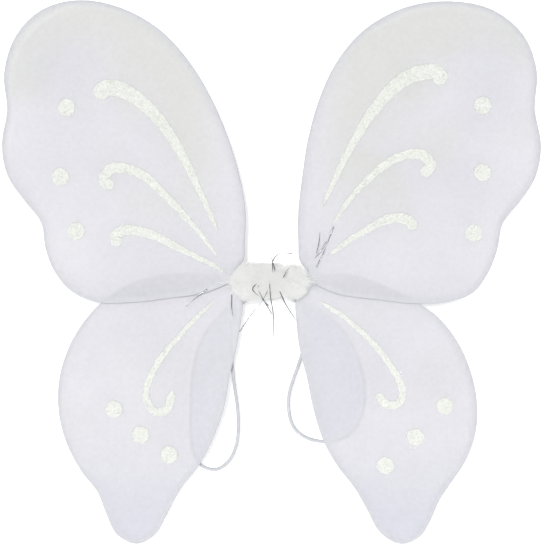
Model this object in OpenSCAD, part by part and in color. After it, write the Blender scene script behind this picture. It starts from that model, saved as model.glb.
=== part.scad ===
// Fairy wings: four wire frames in sheer nylon sleeves, bound together in the middle,
// with glitter lines and dots, a fluffy trim, tinsel strands and two elastic shoulder straps.
// The wearer is on the +Y side and the decorated faces look towards -Y.
// The origin is the middle of the back pad's outer face.

/* [Upper wings] */
// Reach of an upper wing's wire from the middle of the pair
upper_reach = 252; // [205:1:305]
// Rise of an upper wing's wire above the middle
upper_rise = 264; // [215:1:320]

/* [Lower wings] */
// Reach of a lower wing's wire from the middle of the pair
lower_reach = 199; // [162:1:240]
// Drop of a lower wing's wire below the middle
lower_drop = 246; // [200:1:298]

/* [Frame wire] */
// Diameter of the wire
wire_d = 2; // [1.6:0.05:2.5]
// Space between a wing's two wire legs at its root
leg_gap = 0.6; // [0.4:0.1:1]
// Length of bare wire between the wrap and the bend at the root
stub_len = 2.55; // [2.1:0.05:3.2]

/* [Sleeves] */
// Thickness of the nylon film
film_t = 0.2; // [0.15:0.01:0.3]
// Width of the thread binding round a sleeve's neck
bind_w = 3; // [2:0.1:3.8]
// Thickness of the thread binding
bind_t = 0.8; // [0.5:0.05:1]

/* [Glitter] */
// Thickness of the glitter lines and dots
glitter_t = 0.5; // [0.3:0.05:0.7]
// Diameter of a glitter dot
dot_d = 16; // [12:0.5:20]
// Width of the long upper lines at their curl
long_w = 16; // [12:0.5:18]
// Width of the middle upper lines at their curl
middle_w = 11; // [8:0.5:12]
// Width of the short upper lines at their curl
short_w = 11; // [8:0.5:12]
// Width of the lower lines at their curl
curl_w = 8; // [6:0.5:9.5]
// Width of every line at its root end
line_end_w = 3; // [2:0.5:4]

/* [Middle] */
// Diameter of the tape wrap that binds the roots together
wrap_d = 15.2; // [14.6:0.1:18.5]
// Width of the back pad
pad_w = 27; // [22:1:33]
// Height of the back pad
pad_h = 36; // [30:1:44]
// Thickness of the back pad
pad_t = 3; // [2:0.1:4]
// Radius of the back pad's corners
pad_corner_r = 6; // [2:0.5:8]
// Radius of the larger, left-hand lump of the fluffy trim
fur_r = 19; // [16:0.5:22]
// Radius of a tinsel strand
tinsel_r = 0.3; // [0.2:0.05:0.5]

/* [Straps] */
// Diameter of the round elastic
strap_d = 3.3; // [2.7:0.1:4]
// Radius of the knot where both ends of a strap are tied
knot_r = 2.6; // [2.2:0.1:3.2]

/* [Hidden] */

// Clearances
fit = 0.05; // slip between a wire and its sleeve, and between a hitch and the wrap
play = 1; // room between a lower wing's glitter and the upper wing behind which it passes
side_gap = 0.4; // room between a knot and the pad, and between neighbouring bindings
far = 100; // longer than anything in the middle, for cutting tools
knot_grip = 0.8; // how far a knot sits in its hitch
wrap_past = 0.5; // wrap left beyond a hitch
neck_bare = 1; // sleeve left on the outer side of its binding
bend_per_d = 1.4; // wire taken by half of the bend at a root, in wire diameters

// Sections at the root
wire_r = wire_d / 2;
sleeve_half = wire_r + fit + film_t;
leg_pitch = wire_d + leg_gap;
layer_half = sleeve_half + (glitter_t + play) / 2;
root_z = leg_pitch / 2 + sleeve_half + bind_t + fit + side_gap;

// Places in the middle
wrap_r = wrap_d / 2;
axis_y = -pad_t - wrap_r;
strap_r = strap_d / 2;
hitch_x = pad_w / 2 + side_gap + knot_r;
hitch_r = wrap_r + fit + strap_r;
knot_drop = hitch_r + strap_r + knot_r - knot_grip;
wrap_half = hitch_x + strap_r + wrap_past;
bend_gap = bend_per_d * wire_d;
hinge_x = wrap_half + stub_len + bend_gap;
bind_x = hinge_x + bend_gap + neck_bare / 2;
neck_x = bind_x + bind_w + neck_bare / 2;
upper_y = axis_y - layer_half;
lower_y = axis_y + layer_half;

// Each wire's outline is drawn on a grid of this reach and height, and stretched to the sizes above.
// The points run from the root along the inner edge of an upper wing, or the top edge of a lower
// wing, and back to the root. Each is [distance from the middle, height].
upper_grid = [252, 264];
lower_grid = [199, 246];
upper_left_outline = [
    [27, 21], [26, 36], [25, 66], [31, 101], [41, 134], [56, 170], [78, 207], [106, 237],
    [142, 257], [181, 264], [215, 255], [239, 231], [250, 196], [247, 162], [252, 130], [247, 101],
    [231, 77], [215, 56], [211, 32], [203, 11], [187, -8], [163, -18], [130, -18], [95, -14],
    [62, -9]
];
upper_right_outline = [
    [28, 21], [27, 36], [27, 67], [31, 102], [36, 134], [46, 170], [62, 205], [88, 236],
    [126, 257], [168, 263], [208, 255], [237, 231], [249, 198], [247, 163], [253, 128], [248, 100],
    [235, 79], [217, 56], [212, 32], [204, 11], [189, -9], [165, -18], [132, -19], [97, -15],
    [62, -10]
];
lower_left_outline = [
    [46, 4], [72, 8], [103, 6], [133, -3], [159, -20], [179, -43], [192, -68], [199, -95],
    [199, -123], [192, -151], [178, -178], [163, -197], [154, -219], [145, -237], [127, -246],
    [110, -237], [98, -216], [86, -194], [68, -171], [55, -146], [45, -117], [40, -88], [33, -59],
    [29, -33], [28, -18]
];
lower_right_outline = [
    [46, 5], [76, 6], [106, -4], [134, -18], [157, -34], [175, -57], [187, -84], [193, -112],
    [192, -141], [183, -167], [170, -187], [158, -205], [149, -225], [140, -239], [123, -246],
    [104, -236], [92, -215], [80, -194], [63, -172], [50, -148], [41, -119], [35, -90], [28, -62],
    [25, -35], [25, -18]
];

// Glitter lines on the same grids, from the curled end to the root end
upper_left_long = [[165, 174], [154, 182], [139, 180], [111, 159], [86, 124], [66, 83], [50, 48]];
upper_left_middle = [[149, 88], [157, 97], [149, 107], [123, 102], [98, 80], [72, 52], [50, 24]];
upper_left_short = [[144, 34], [146, 44], [136, 49], [111, 44], [85, 31], [57, 17], [43, 9]];
upper_right_long = [[163, 187], [154, 197], [138, 196], [119, 186], [94, 158], [72, 121], [48, 70]];
upper_right_middle = [[142, 100], [150, 110], [141, 120], [117, 116], [94, 99], [75, 79], [59, 55]];
upper_right_short = [[136, 50], [127, 59], [110, 59], [90, 49], [72, 38], [54, 25]];
lower_left_curl = [[93, -103], [98, -120], [110, -122], [118, -107], [107, -77], [83, -47], [53, -17]];
lower_right_curl = [[100, -105], [110, -116], [121, -114], [124, -101], [104, -67], [74, -37], [46, -18]];

// Middles of the glitter dots on the same grids
upper_left_spots = [[192, 164], [198, 99], [183, 48]];
upper_right_spots = [[199, 166], [199, 103], [191, 46]];
lower_left_spots = [[148, -120], [123, -144], [96, -163]];
lower_right_spots = [[164, -117], [136, -146], [108, -173]];

// Routes of the two elastic straps, behind the lower wings, without their ends in the knots
left_route = [
    [-21, -7.2, -16.6], [-25, -3.8, -18.8], [-30, -1, -23], [-34, 0.6, -31], [-37, 1, -43],
    [-38, 1, -58], [-37, 1, -76],
    [-35, 1, -97], [-32, 1, -118], [-31, 1, -138], [-33, 1, -155], [-40, 1, -170], [-52, 1, -178],
    [-65, 1, -175], [-73, 1, -163], [-76, 1, -145], [-76, 1, -120], [-75, 1, -95], [-71, 1, -70],
    [-62, 1, -48], [-49, 1, -33], [-39, 0.6, -23], [-31.5, -1, -16.5], [-25, -4, -12.8]
];
right_route = [
    [21, -7.2, -16.6], [25, -3.8, -18.8], [29.5, -1, -23], [32.5, 0.6, -31], [33.5, 1, -43],
    [32, 1, -58], [27, 1, -76],
    [21, 1, -93], [17, 1, -108], [17, 1, -123], [21, 1, -137], [30, 1, -146], [44, 1, -151],
    [60, 1, -151], [74, 1, -145], [84, 1, -132], [89, 1, -114], [88, 1, -93], [82, 1, -71],
    [72, 1, -51], [57, 1, -35], [42, 0.6, -23.5], [32, -1, -16.5], [25, -4, -12.8]
];

// Tinsel strands: [x, height] points, in front of the trim or flat on a wing
middle_strands = [
    [[4, 10], [1, 21], [-4, 33]],
    [[2, 8], [2, 20], [8, 26.5], [20, 26.5]],
    [[11, 3], [14, 9], [16.5, 13]],
    [[-1, 2], [-1, -6], [0, -16], [2, -28], [2.5, -40], [2.5, -50], [7, -57], [12, -65]],
    [[-11, -2], [-12, -7], [-7, -16], [1, -30]],
    [[-12, 0], [-17, -7], [-11, -13], [-2, -22]],
    [[-3, -8], [-9, -19], [-18, -30], [-29, -46]],
    [[8, -8], [14, -21], [23, -35]]
];
upper_left_strands = [[[60, -7], [71, -15], [80, -23]]];
upper_right_strands = [
    [[43, 14], [50, 29], [59, 52]],
    [[41, 22], [47, 29], [52, 38]],
    [[43, 27], [45, 36], [46, 47]]
];
lower_left_strands = [[[37, -12], [37, -23], [36, -32]]];

outline_steps = 4; // spline steps between two outline points
line_steps = 5; // spline steps between two points of a glitter line
cord_steps = 3; // spline steps between two points of a strap
strand_steps = 3; // spline steps between two points of a tinsel strand
smooth_fn = 64;

// Point at share t of the centripetal spline between b and c, with neighbours a and d
function knot_gap(p, q) = sqrt(norm(q - p));
function mix(p, q, u, v, t) = (p * (v - t) + q * (t - u)) / (v - u);
function spline_at(a, b, c, d, t) =
    let (
        k1 = knot_gap(a, b),
        k2 = k1 + knot_gap(b, c),
        k3 = k2 + knot_gap(c, d),
        k = k1 + (k2 - k1) * t,
        ab = mix(a, b, 0, k1, k),
        bc = mix(b, c, k1, k2, k),
        cd = mix(c, d, k2, k3, k)
    )
    mix(mix(ab, bc, 0, k2, k), mix(bc, cd, k1, k3, k), k1, k2, k);

// Smooth open curve through points
function smooth_curve(points, steps) =
    let (
        last = len(points) - 1,
        before = 2 * points[0] - points[1],
        after = 2 * points[last] - points[last - 1]
    )
    concat(
        [
            for (i = [0:last - 1], s = [0:steps - 1])
                spline_at(
                    i == 0 ? before : points[i - 1], points[i], points[i + 1],
                    i == last - 1 ? after : points[i + 2], s / steps
                )
        ],
        [points[last]]
    );

// Direction along a curve at point i, and the unit vector to its left in the XZ plane
function unit(v) = v / norm(v);
function along(curve, i) = unit(curve[min(i + 1, len(curve) - 1)] - curve[max(i - 1, 0)]);
function left_of(curve, i) =
    let (t = along(curve, i))
    [-t[1], t[0]];

// Curve moved sideways by a distance
function beside(curve, distance) = [for (i = [0:len(curve) - 1]) curve[i] + distance * left_of(curve, i)];
function stretched(points, grid, size) = [
    for (p = points) [p[0] * size[0] / grid[0], p[1] * size[1] / grid[1]]
];
function upper_fit(points) = stretched(points, upper_grid, [upper_reach, upper_rise]);
function lower_fit(points) = stretched(points, lower_grid, [lower_reach, lower_drop]);

// Wire leg from the bend out to the shoulder, where it climbs by rise, or drops if rise is negative
shoulder = [3, 4.5]; // the shoulder's start and end beyond the neck
outer_rise = 5; // climb of the leg that turns up or down along a wing's inner edge
upper_near_rise = -0.5; // the same for the legs that meet in the middle
lower_near_rise = 1;
function leg(height, rise) = [
    [hinge_x + bend_gap, height], [neck_x, height],
    [neck_x + shoulder[0], height + rise / 4], [neck_x + shoulder[1], height + rise]
];
function reversed(points) = [for (i = [len(points) - 1:-1:0]) points[i]];

// Whole loop of a wing's wire: out along one leg, round the outline and back along the other
function loop(outline, first_z, first_rise, last_z, last_rise) = smooth_curve(
    concat(leg(first_z, first_rise), outline, reversed(leg(last_z, last_rise))), outline_steps
);
function upper_loop(outline) =
    loop(upper_fit(outline), root_z + leg_pitch / 2, outer_rise, root_z - leg_pitch / 2, upper_near_rise);
function lower_loop(outline) =
    loop(lower_fit(outline), -root_z + leg_pitch / 2, lower_near_rise, -root_z - leg_pitch / 2, -outer_rise);

// Tube of a given radius along 3-D points
function lifted(points, y) = [for (p = points) [p[0], y, p[1]]];
module tube(points, r, sides) {
    rings = len(points);
    verts = [
        for (i = [0:rings - 1])
            let (
                t = along(points, i),
                across = unit(cross(t, [0, 1, 0])),
                up = cross(across, t)
            )
            for (s = [0:sides - 1])
                let (turn = (s + 0.5) * 360 / sides)
                points[i] + r * (across * cos(turn) + up * sin(turn))
    ];
    walls = [
        for (i = [0:rings - 2], s = [0:sides - 1])
            let (n = (s + 1) % sides)
            [i * sides + s, i * sides + n, (i + 1) * sides + n, (i + 1) * sides + s]
    ];
    first_cap = [for (s = [sides - 1:-1:0]) s];
    last_cap = [for (s = [0:sides - 1]) (rings - 1) * sides + s];
    polyhedron(points = verts, faces = concat(walls, [first_cap], [last_cap]), convexity = 10);
}

// Upright plate with an outline in the XZ plane, from y_back towards -Y
module plate(outline, y_back, thick) {
    translate([0, y_back, 0])
        rotate([90, 0, 0])
            linear_extrude(height = thick, convexity = 6)
                polygon(outline);
}

// Round bar along X from x1 to x2
module bar(x1, x2, y, z, r) {
    translate([x1, y, z])
        rotate([0, 90, 0])
            cylinder(h = x2 - x1, r = r, $fn = smooth_fn);
}

module left_side() {
    mirror([1, 0, 0])
        children();
}

// Wire frame of one wing
module wing_wire(curve, y) {
    color("silver")
        tube(lifted(curve, y), wire_r, 8);
}

// Nylon sleeve of one wing: two films joined round the wire, open at the neck
module wing_sleeve(curve, y) {
    skin = beside(curve, sleeve_half);
    hollow = beside(curve, wire_r + fit);
    last = len(curve) - 1;
    mouth = [[hinge_x, hollow[last][1]], [hinge_x, hollow[0][1]]];
    color([0.92, 0.92, 0.95, 0.8])
        difference() {
            plate(skin, y + sleeve_half, 2 * sleeve_half);
            plate(concat(hollow, mouth), y + sleeve_half - film_t, 2 * (sleeve_half - film_t));
        }
}

// Thread binding round the neck of a sleeve
module neck_binding(y, z) {
    inner = [sleeve_half + fit, leg_pitch / 2 + sleeve_half + fit];
    outer = [inner[0] + bind_t, inner[1] + bind_t];
    color("white")
        translate([bind_x, y, z])
            difference() {
                rounded_bar(outer, bind_w, bind_t);
                translate([-1, -inner[0], -inner[1]])
                    cube([bind_w + 2, 2 * inner[0], 2 * inner[1]]);
            }
}

// Bar along X with rounded edges: half sizes in Y and Z, length, corner radius
module rounded_bar(half, length, r) {
    translate([0, -half[0] + r, -half[1]])
        cube([length, 2 * (half[0] - r), 2 * half[1]]);
    translate([0, -half[0], -half[1] + r])
        cube([length, 2 * half[0], 2 * (half[1] - r)]);
    for (sy = [-1, 1], sz = [-1, 1])
        bar(0, length, sy * (half[0] - r), sz * (half[1] - r), r);
}

blunt = 0.02; // keeps a line's very end from closing to a point
straight = 0.01; // a turn smaller than this counts as none
straight_r = 1000; // and has this radius

// Half width of a glitter line: round at both ends, from wide at the curl to narrow at the root
function line_half(run, total, wide, narrow) =
    let (
        width = (wide + (narrow - wide) * run / total) / 2,
        end = min(run, total - run),
        share = min(end / width, 1)
    )
    width * sqrt(max(1 - pow(1 - share, 2), blunt));

// Signed radius of a curve's bend at point i, positive where it turns left
function bend_r(curve, i) =
    let (
        a = curve[max(i - 1, 0)],
        b = curve[i],
        c = curve[min(i + 1, len(curve) - 1)],
        turn = cross(b - a, c - b)
    )
    abs(turn) < straight ? straight_r : norm(b - a) * norm(c - b) * norm(c - a) / (2 * turn);

// Side of a line kept short of the middle of its own bend
bend_share = 0.6; // most of a bend's radius that a side may take
function side_half(half, bend) = bend > 0 ? min(half, bend_share * bend) : half;

module glitter_line(points, wide, y_face) {
    narrow = line_end_w;
    curve = smooth_curve(points, line_steps);
    last = len(curve) - 1;
    spans = [for (i = [1:last]) norm(curve[i] - curve[i - 1])];
    runs = [for (i = 0, r = 0; i <= last; r = r + (i < last ? spans[i] : 0), i = i + 1) r];
    halves = [for (r = runs) line_half(r, runs[last], wide, narrow)];
    bends = [for (i = [0:last]) bend_r(curve, i)];
    left_edge = [for (i = [0:last]) curve[i] + side_half(halves[i], bends[i]) * left_of(curve, i)];
    right_edge = [for (i = [last:-1:0]) curve[i] - side_half(halves[i], -bends[i]) * left_of(curve, i)];
    color([0.96, 0.98, 0.93])
        plate(concat(left_edge, right_edge), y_face, glitter_t);
}

module glitter_dots(points, y_face) {
    color([0.96, 0.98, 0.93])
        for (p = points)
            translate([p[0], y_face, p[1]])
                rotate([90, 0, 0])
                    cylinder(h = glitter_t, d = dot_d, $fn = smooth_fn);
}

// Front faces of the sleeves, where the glitter and the tinsel lie
upper_face = upper_y - sleeve_half;
lower_face = lower_y - sleeve_half;

module flat_strands(strands, y_face) {
    color([0.8, 0.82, 0.86])
        for (points = strands)
            tube(lifted(smooth_curve(points, strand_steps), y_face - tinsel_r), tinsel_r, 4);
}

// The two bare wire ends of one wing, in the wrap
module stems(y, z) {
    color("silver")
        for (side = [-1, 1])
            bar(1, wrap_half + stub_len, y, z + side * leg_pitch / 2, wire_r);
}

// Tape wrap round all the roots, with a way through for each pair of stems
module stem_wrap() {
    color("white")
        difference() {
            bar(-wrap_half, wrap_half, axis_y, 0, wrap_r);
            for (side = [-1, 1]) {
                bar(-far, far, upper_y, root_z + side * leg_pitch / 2, wire_r + fit);
                bar(-far, far, lower_y, -root_z + side * leg_pitch / 2, wire_r + fit);
            }
        }
}

// Felt pad against the wearer's back
module back_pad() {
    half = [pad_w / 2 - pad_corner_r, pad_h / 2 - pad_corner_r];
    color([0.95, 0.95, 0.95])
        rotate([90, 0, 0])
            union() {
                translate([-pad_w / 2, -half[1], 0])
                    cube([pad_w, 2 * half[1], pad_t]);
                translate([-half[0], -pad_h / 2, 0])
                    cube([2 * half[0], pad_h, pad_t]);
                for (sx = [-1, 1], sz = [-1, 1])
                    translate([sx * half[0], sz * half[1], 0])
                        cylinder(h = pad_t, r = pad_corner_r, $fn = smooth_fn);
            }
}

// Core of the fluffy trim: two lumps round the wrap, between the knots and clear of the pad
fur_half = pad_w / 2;
fur_thin = 2; // thickness at the ends and between the lumps
fur_rings = 12; // steps from the middle of the trim to each end
left_lump = [-0.43, 0.57]; // middle and half width, as shares of half the trim
right_lump = [0.52, 0.48];
right_lower = 2; // how much lower the right lump is
function lump(x, middle, half, peak) =
    let (share = 1 - pow((x - middle) / half, 2))
    wrap_r + fur_thin + (peak - wrap_r - fur_thin) * sqrt(max(share, 0));
function fur_outer(x) = max(
    lump(x, left_lump[0] * fur_half, left_lump[1] * fur_half, fur_r),
    lump(x, right_lump[0] * fur_half, right_lump[1] * fur_half, fur_r - right_lower)
);
module fur_trim() {
    rim = [for (i = [-fur_rings:fur_rings]) [fur_outer(i * fur_half / fur_rings), i * fur_half / fur_rings]];
    color("white")
        difference() {
            translate([0, axis_y, 0])
                rotate([0, 90, 0])
                    rotate_extrude($fn = smooth_fn)
                        polygon(concat([[wrap_r + fit, -fur_half]], rim, [[wrap_r + fit, fur_half]]));
            translate([-far, -pad_t - side_gap, -far])
                cube([2 * far, far, 2 * far]);
        }
}

// Loose tinsel strands that are tied in with the trim and lean out in front of it
strand_y = axis_y - fur_r + 1;
strand_pitch = 2 * tinsel_r + 0.1;
strand_root = 3; // how far in front of the wrap a strand starts, inside the trim
function rooted(points, y) = [
    for (i = [0:len(points) - 1]) [points[i][0], i == 0 ? axis_y - wrap_r - strand_root : y, points[i][1]]
];
module tinsel_middle() {
    color([0.8, 0.82, 0.86])
        for (i = [0:len(middle_strands) - 1])
            tube(
                smooth_curve(rooted(middle_strands[i], strand_y - i * strand_pitch), strand_steps),
                tinsel_r, 4
            );
}

// Elastic hitch round the wrap, with its knot underneath
knot_at = [hitch_x, axis_y, -knot_drop];
module strap_hitch() {
    color("white")
        union() {
            translate([hitch_x, axis_y, 0])
                rotate([0, 90, 0])
                    rotate_extrude($fn = smooth_fn)
                        translate([hitch_r, 0])
                            circle(r = strap_r, $fn = smooth_fn);
            translate(knot_at)
                sphere(r = knot_r, $fn = smooth_fn);
        }
}

// Elastic strap: a loop from the underside of its knot back to the knot's rear
low_end = [knot_r / 2, 0.2, -0.73 * knot_r]; // where the strap starts, from the middle of the knot
rear_end = [0.2, 0.9 * knot_r, 0.9]; // and where it comes back, behind and above
module strap(route, side) {
    knot = [side * knot_at[0], knot_at[1], knot_at[2]];
    ends = [for (e = [low_end, rear_end]) knot + [side * e[0], e[1], e[2]]];
    color("white")
        tube(smooth_curve(concat([ends[0]], route, [ends[1]]), cord_steps), strap_r, 8);
}

module upper_left_stems() left_side() stems(upper_y, root_z);
module upper_right_stems() stems(upper_y, root_z);
module lower_left_stems() left_side() stems(lower_y, -root_z);
module lower_right_stems() stems(lower_y, -root_z);

module upper_left_wire() left_side() wing_wire(upper_loop(upper_left_outline), upper_y);
module upper_left_sleeve() left_side() wing_sleeve(upper_loop(upper_left_outline), upper_y);
module upper_left_binding() left_side() neck_binding(upper_y, root_z);
module upper_left_long_line() left_side() glitter_line(upper_fit(upper_left_long), long_w, upper_face);
module upper_left_middle_line() left_side() glitter_line(upper_fit(upper_left_middle), middle_w, upper_face);
module upper_left_short_line() left_side() glitter_line(upper_fit(upper_left_short), short_w, upper_face);
module upper_left_dots() left_side() glitter_dots(upper_fit(upper_left_spots), upper_face);
module upper_left_tinsel() left_side() flat_strands(upper_left_strands, upper_face);

module upper_right_wire() wing_wire(upper_loop(upper_right_outline), upper_y);
module upper_right_sleeve() wing_sleeve(upper_loop(upper_right_outline), upper_y);
module upper_right_binding() neck_binding(upper_y, root_z);
module upper_right_long_line() glitter_line(upper_fit(upper_right_long), long_w, upper_face);
module upper_right_middle_line() glitter_line(upper_fit(upper_right_middle), middle_w, upper_face);
module upper_right_short_line() glitter_line(upper_fit(upper_right_short), short_w, upper_face);
module upper_right_dots() glitter_dots(upper_fit(upper_right_spots), upper_face);
module upper_right_tinsel() flat_strands(upper_right_strands, upper_face);

module lower_left_wire() left_side() wing_wire(lower_loop(lower_left_outline), lower_y);
module lower_left_sleeve() left_side() wing_sleeve(lower_loop(lower_left_outline), lower_y);
module lower_left_binding() left_side() neck_binding(lower_y, -root_z);
module lower_left_line() left_side() glitter_line(lower_fit(lower_left_curl), curl_w, lower_face);
module lower_left_dots() left_side() glitter_dots(lower_fit(lower_left_spots), lower_face);
module lower_left_tinsel() left_side() flat_strands(lower_left_strands, lower_face);

module lower_right_wire() wing_wire(lower_loop(lower_right_outline), lower_y);
module lower_right_sleeve() wing_sleeve(lower_loop(lower_right_outline), lower_y);
module lower_right_binding() neck_binding(lower_y, -root_z);
module lower_right_line() glitter_line(lower_fit(lower_right_curl), curl_w, lower_face);
module lower_right_dots() glitter_dots(lower_fit(lower_right_spots), lower_face);

module left_strap() strap(left_route, -1);
module left_strap_hitch() left_side() strap_hitch();
module right_strap() strap(right_route, 1);
module right_strap_hitch() strap_hitch();

stem_wrap();
upper_left_stems();
upper_right_stems();
lower_left_stems();
lower_right_stems();
back_pad();
fur_trim();
tinsel_middle();
upper_left_wire();
upper_left_sleeve();
upper_left_binding();
upper_left_long_line();
upper_left_middle_line();
upper_left_short_line();
upper_left_dots();
upper_left_tinsel();
upper_right_wire();
upper_right_sleeve();
upper_right_binding();
upper_right_long_line();
upper_right_middle_line();
upper_right_short_line();
upper_right_dots();
upper_right_tinsel();
lower_left_wire();
lower_left_sleeve();
lower_left_binding();
lower_left_line();
lower_left_dots();
lower_left_tinsel();
lower_right_wire();
lower_right_sleeve();
lower_right_binding();
lower_right_line();
lower_right_dots();
left_strap();
left_strap_hitch();
right_strap();
right_strap_hitch();
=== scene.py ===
import math

import bpy
import numpy as np
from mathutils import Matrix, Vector, noise


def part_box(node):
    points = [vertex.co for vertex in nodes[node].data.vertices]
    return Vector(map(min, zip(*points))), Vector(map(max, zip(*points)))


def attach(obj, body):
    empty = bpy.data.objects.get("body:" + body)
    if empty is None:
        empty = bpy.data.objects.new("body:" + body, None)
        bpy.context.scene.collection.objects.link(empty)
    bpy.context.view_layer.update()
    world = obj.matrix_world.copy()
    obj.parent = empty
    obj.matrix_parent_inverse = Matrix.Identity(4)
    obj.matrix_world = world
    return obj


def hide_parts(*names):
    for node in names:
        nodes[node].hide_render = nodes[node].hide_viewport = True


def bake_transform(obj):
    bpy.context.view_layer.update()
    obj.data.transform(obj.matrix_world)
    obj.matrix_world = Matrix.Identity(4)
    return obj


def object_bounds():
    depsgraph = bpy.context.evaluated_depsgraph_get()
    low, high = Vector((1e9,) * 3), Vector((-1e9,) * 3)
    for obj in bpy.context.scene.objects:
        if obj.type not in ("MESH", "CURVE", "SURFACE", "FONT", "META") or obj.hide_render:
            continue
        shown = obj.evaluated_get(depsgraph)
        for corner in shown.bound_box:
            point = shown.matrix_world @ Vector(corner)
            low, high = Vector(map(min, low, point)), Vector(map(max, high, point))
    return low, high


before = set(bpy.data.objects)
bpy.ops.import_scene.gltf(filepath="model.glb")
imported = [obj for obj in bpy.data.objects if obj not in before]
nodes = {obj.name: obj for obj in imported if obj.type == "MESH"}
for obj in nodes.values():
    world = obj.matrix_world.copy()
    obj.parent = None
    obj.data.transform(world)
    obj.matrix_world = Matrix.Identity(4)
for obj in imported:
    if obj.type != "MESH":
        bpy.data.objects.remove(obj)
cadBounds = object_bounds()
random = np.random.default_rng(7)
mm = 0.001
same = 0.01 * mm  # within this, two places are taken as one


# Camera, straight in front of the wings
viewSet = {
    "distance": 1.4,  # from the upper wings' front faces
    "shown": 0.517,  # width that the picture takes in there
    "sensor": 36.0,
    "aim": (3.3 * mm, -2.4 * mm),  # right and up from the middle of the object
}


def makeCamera():
    low, high = cadBounds
    middle = (low + high) / 2
    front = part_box("upper_left_sleeve")[0].y
    place = (middle.x + viewSet["aim"][0], front - viewSet["distance"], middle.z + viewSet["aim"][1])
    bpy.ops.object.camera_add(location=place, rotation=(math.radians(90), 0, 0))
    camera = bpy.context.object
    camera.data.sensor_width = viewSet["sensor"]
    camera.data.lens = viewSet["sensor"] * viewSet["distance"] / viewSet["shown"]
    bpy.context.scene.camera = camera


# Small helpers for objects and meshes
def onlySelect(*pieces):
    bpy.ops.object.select_all(action="DESELECT")
    for piece in pieces:
        piece.select_set(True)
    bpy.context.view_layer.objects.active = pieces[0]


def setMode(mode):
    bpy.ops.object.mode_set(mode=mode)


def applyModifier(piece, kind, **settings):
    onlySelect(piece)
    modifier = piece.modifiers.new(kind.title(), kind)
    for key, value in settings.items():
        setattr(modifier, key, value)
    bpy.ops.object.modifier_apply(modifier=modifier.name)


def cadCopy(nodeName, name):  # a copy of a CAD solid, its doubles merged
    source = nodes[nodeName]
    piece = bpy.data.objects.new(name, source.data.copy())
    bpy.context.scene.collection.objects.link(piece)
    piece.data.materials.clear()
    onlySelect(piece)
    if piece.data.has_custom_normals:
        bpy.ops.mesh.customdata_custom_splitnormals_clear()
    setMode("EDIT")
    bpy.ops.mesh.select_all(action="SELECT")
    bpy.ops.mesh.remove_doubles(threshold=0.001 * mm)
    setMode("OBJECT")
    return piece


def mergeFlat(piece, angle=1.0):  # dissolves what lies flat, within an angle in degrees
    onlySelect(piece)
    setMode("EDIT")
    bpy.ops.mesh.select_all(action="SELECT")
    bpy.ops.mesh.dissolve_limited(angle_limit=math.radians(angle))
    setMode("OBJECT")


def bevelSharp(piece, width, segments, wanted):  # rounds the sharp edges whose two ends are wanted
    setMode("EDIT")
    bpy.ops.mesh.select_mode(type="EDGE")
    bpy.ops.mesh.select_all(action="DESELECT")
    bpy.ops.mesh.edges_select_sharp(sharpness=math.radians(60))
    setMode("OBJECT")
    place = points(piece)
    for edge in piece.data.edges:
        a, b = edge.vertices
        edge.select = edge.select and bool(wanted(place[a], place[b]))
    setMode("EDIT")
    bpy.ops.mesh.bevel(offset=width, segments=segments, affect="EDGES", clamp_overlap=True)
    setMode("OBJECT")


def meshPiece(name, verts, faces, uvs=None):
    mesh = bpy.data.meshes.new(name)
    mesh.from_pydata(verts, [], faces)
    if uvs is not None:
        mesh.uv_layers.new(name="UVMap").data.foreach_set("uv", np.asarray(uvs, float).ravel())
    mesh.shade_smooth()
    piece = bpy.data.objects.new(name, mesh)
    bpy.context.scene.collection.objects.link(piece)
    return piece


def joinPieces(pieces, name):
    onlySelect(*pieces)
    bpy.ops.object.join()
    pieces[0].name = name
    pieces[0].data.name = name
    return pieces[0]


def points(piece):
    place = np.zeros(len(piece.data.vertices) * 3)
    piece.data.vertices.foreach_get("co", place)
    return place.reshape(-1, 3)


def movePoints(piece, place):
    piece.data.vertices.foreach_set("co", place.ravel())
    piece.data.update()


def unit(vectors):
    return vectors / np.linalg.norm(vectors, axis=1)[:, None]


def giveAttribute(piece, name, values):
    made = piece.data.attributes.new(name, "FLOAT", "POINT")
    made.data.foreach_set("value", np.asarray(values, np.float32))


def smoothStep(low, high, value):
    share = np.clip((value - low) / (high - low), 0, 1)
    return share * share * (3 - 2 * share)


def noiseAt(place, scale, seed=0.0):  # smooth noise, about -1 to 1, at each point
    shift = Vector((seed, 2.3 * seed, 5.1 * seed))
    return np.array([noise.noise(Vector(p) * scale + shift) for p in place])


def axisOf(nodeName):  # where the middle line of a node along X lies in Y, and its radius
    low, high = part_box(nodeName)
    return (low.y + high.y) / 2, (high.z - low.z) / 2


def dress(piece, material, body=None, replaced=()):
    if material is not None:
        piece.data.materials.clear()
        piece.data.materials.append(material)
    if body:
        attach(piece, body)
    if replaced:
        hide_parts(*replaced)


def cutGrid(piece, cell, axes=(0, 2)):  # bisects the mesh into cells of that size
    onlySelect(piece)
    place = points(piece)
    low, high = place.min(0), place.max(0)
    setMode("EDIT")
    for axis in axes:
        count = int((high[axis] - low[axis]) / cell)
        for step in range(1, count + 1):
            at, along = [0.0, 0.0, 0.0], [0.0, 0.0, 0.0]
            at[axis] = low[axis] + step * (high[axis] - low[axis]) / (count + 1)
            along[axis] = 1.0
            bpy.ops.mesh.select_all(action="SELECT")
            bpy.ops.mesh.bisect(plane_co=at, plane_no=along, threshold=0.001 * mm)
    setMode("OBJECT")


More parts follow.
